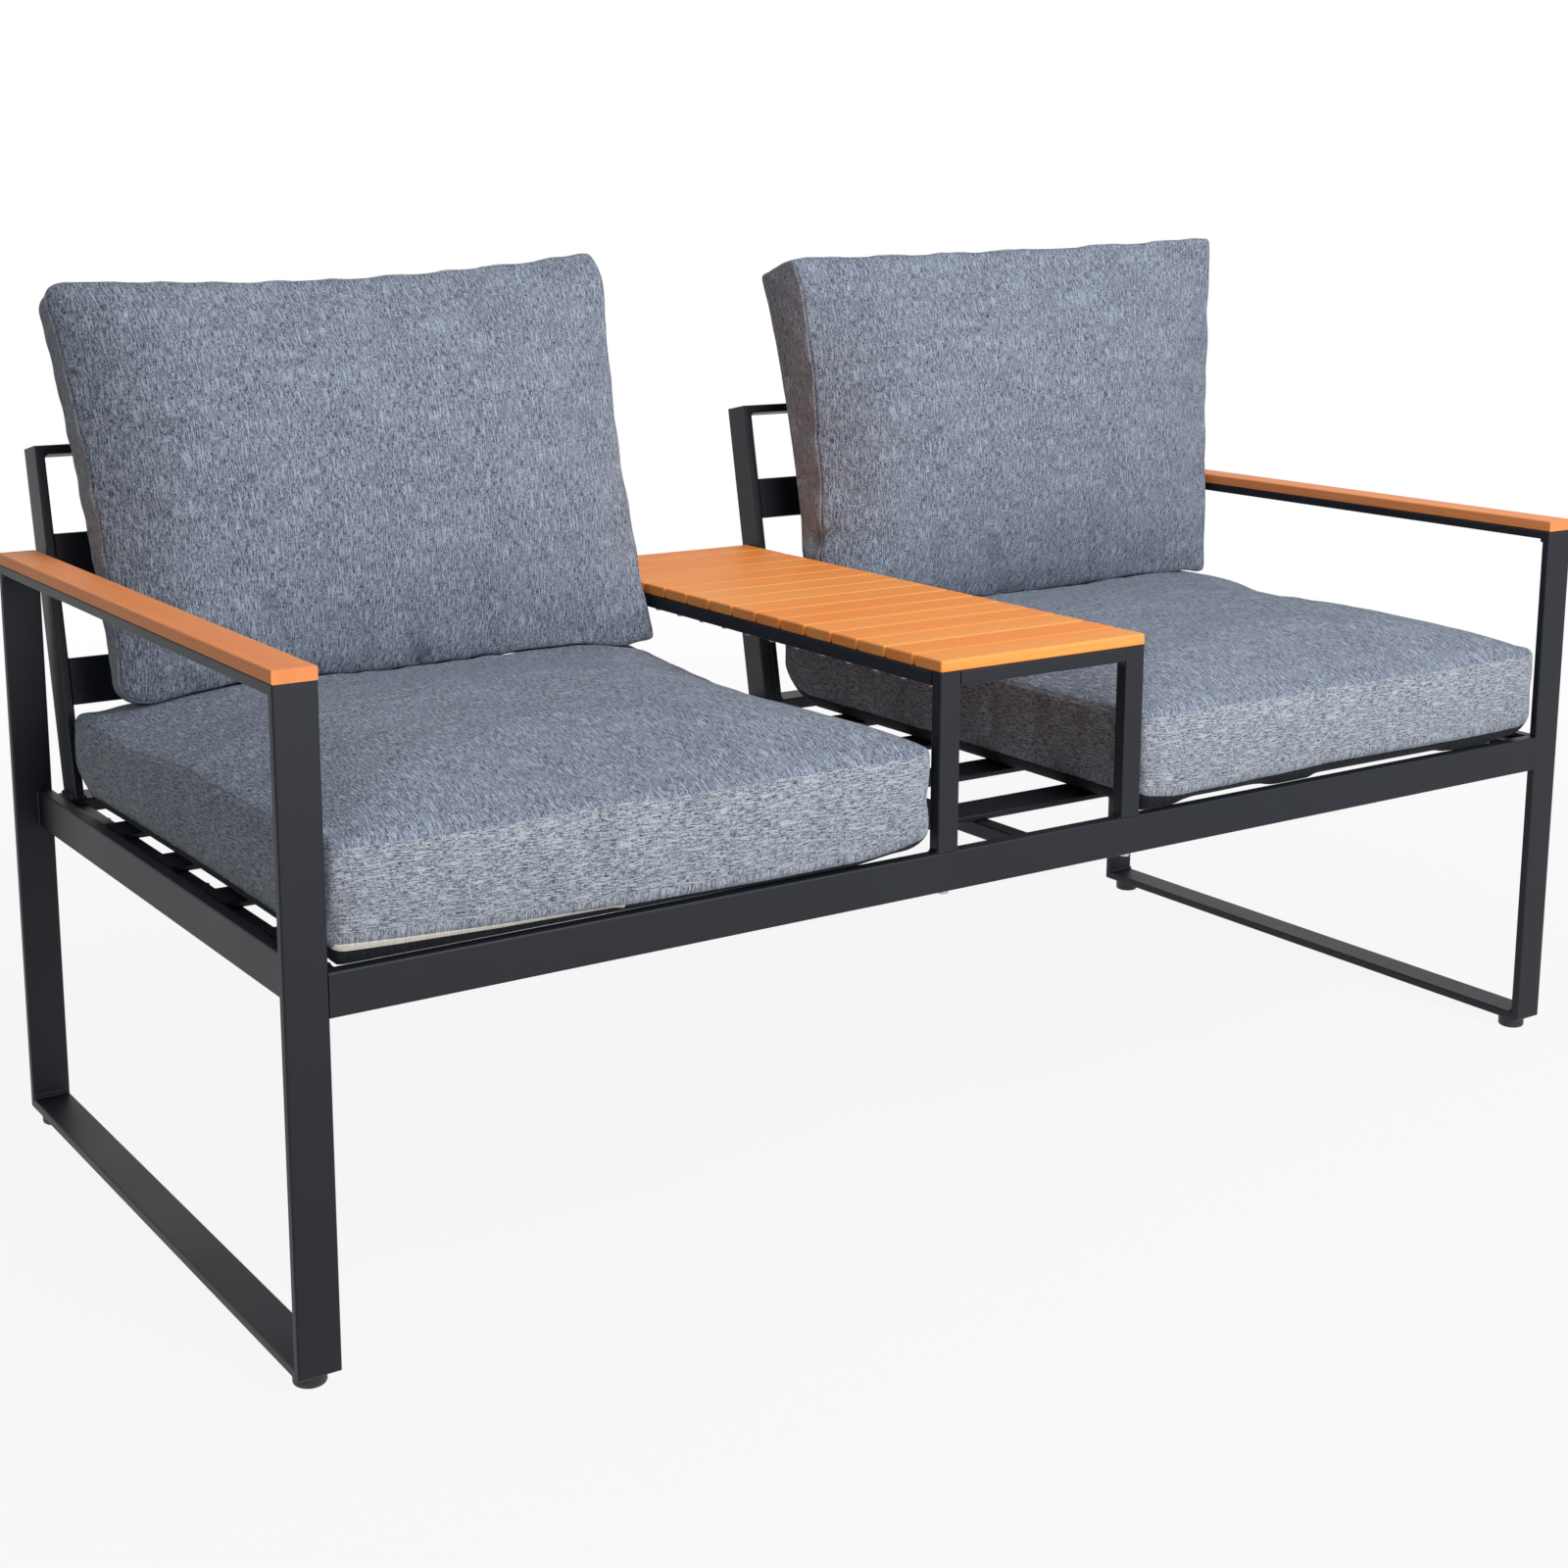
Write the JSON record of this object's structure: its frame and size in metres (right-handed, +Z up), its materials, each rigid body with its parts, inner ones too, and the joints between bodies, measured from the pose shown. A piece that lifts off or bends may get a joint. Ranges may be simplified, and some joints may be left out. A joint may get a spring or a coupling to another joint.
{
  "type": "lounge sofa",
  "caption": "Outdoor two-seat lounge sofa: flat-tube frame with ring-shaped arms, slatted table between the seats, and loose box cushions on each seat and back.",
  "frame": {"origin": "on the floor, under the middle of the overall box of the rigid frame", "axes": "+Z up, +X to the right of a viewer who faces the front of the sofa, +Y from the front to the back"},
  "size_m": [1.62, 0.782, 0.9348],
  "materials": {
    "frame_paint": "satin black powder coat",
    "slat_wood": "satin, fine straight grain",
    "foot_plastic": "matt",
    "zinc_steel": "zinc plated",
    "cushion_fabric": "melange weave",
    "cushion_lining": "plain cream cloth"
  },
  "bodies": {
    "frame": {"left_front_leg": "frame_paint", "left_rear_leg": "frame_paint", "left_floor_rail": "frame_paint", "left_arm_rail": "frame_paint", "left_side_rail": "frame_paint", "right_front_leg": "frame_paint", "right_rear_leg": "frame_paint", "right_floor_rail": "frame_paint", "right_arm_rail": "frame_paint", "right_side_rail": "frame_paint", "front_rail": "frame_paint", "rear_rail": "frame_paint", "left_end_tube": "frame_paint", "right_end_tube": "frame_paint", "middle_support": "frame_paint", "seat_slat_1": "frame_paint", "seat_slat_2": "frame_paint", "seat_slat_3": "frame_paint", "seat_slat_4": "frame_paint", "left_outer_post": "frame_paint", "left_inner_post": "frame_paint", "left_top_rail": "frame_paint", "left_mid_rail": "frame_paint", "left_low_rail": "frame_paint", "right_outer_post": "frame_paint", "right_inner_post": "frame_paint", "right_top_rail": "frame_paint", "right_mid_rail": "frame_paint", "right_low_rail": "frame_paint", "left_table_leg": "frame_paint", "right_table_leg": "frame_paint", "left_table_strut": "frame_paint", "right_table_strut": "frame_paint", "left_table_rail": "frame_paint", "right_table_rail": "frame_paint", "table_front_rail": "frame_paint", "table_rear_rail": "frame_paint", "left_arm_cap": "slat_wood", "right_arm_cap": "slat_wood", "table_planks": "slat_wood", "left_front_foot": "foot_plastic", "left_rear_foot": "foot_plastic", "right_front_foot": "foot_plastic", "right_rear_foot": "foot_plastic", "deck_bolts": "zinc_steel", "deck_nuts": "zinc_steel", "front_leg_bolts": "zinc_steel", "strut_bolts": "zinc_steel", "leg_plugs": "zinc_steel", "strut_plugs": "zinc_steel", "plank_screws": "zinc_steel", "cap_screws": "zinc_steel"},
    "left_seat_cushion": {"left_seat_cushion": "cushion_fabric"},
    "right_seat_cushion": {"right_seat_cushion": "cushion_fabric"},
    "left_back_cushion": {"left_back_cushion": "cushion_fabric"},
    "right_back_cushion": {"right_back_cushion": "cushion_fabric"}
  },
  "joints": [
    {"name": "left_seat_slide", "type": "slide", "parent": "frame", "child": "left_seat_cushion", "axis": [0, -1, 0], "range_m": [0, 0.3]},
    {"name": "right_seat_slide", "type": "slide", "parent": "frame", "child": "right_seat_cushion", "axis": [0, -1, 0], "range_m": [0, 0.3]},
    {"name": "left_back_lift", "type": "slide", "parent": "frame", "child": "left_back_cushion", "axis": [0, 0.1942, 0.981], "range_m": [0, 0.25]},
    {"name": "right_back_lift", "type": "slide", "parent": "frame", "child": "right_back_cushion", "axis": [0, 0.1942, 0.981], "range_m": [0, 0.25]}
  ]
}
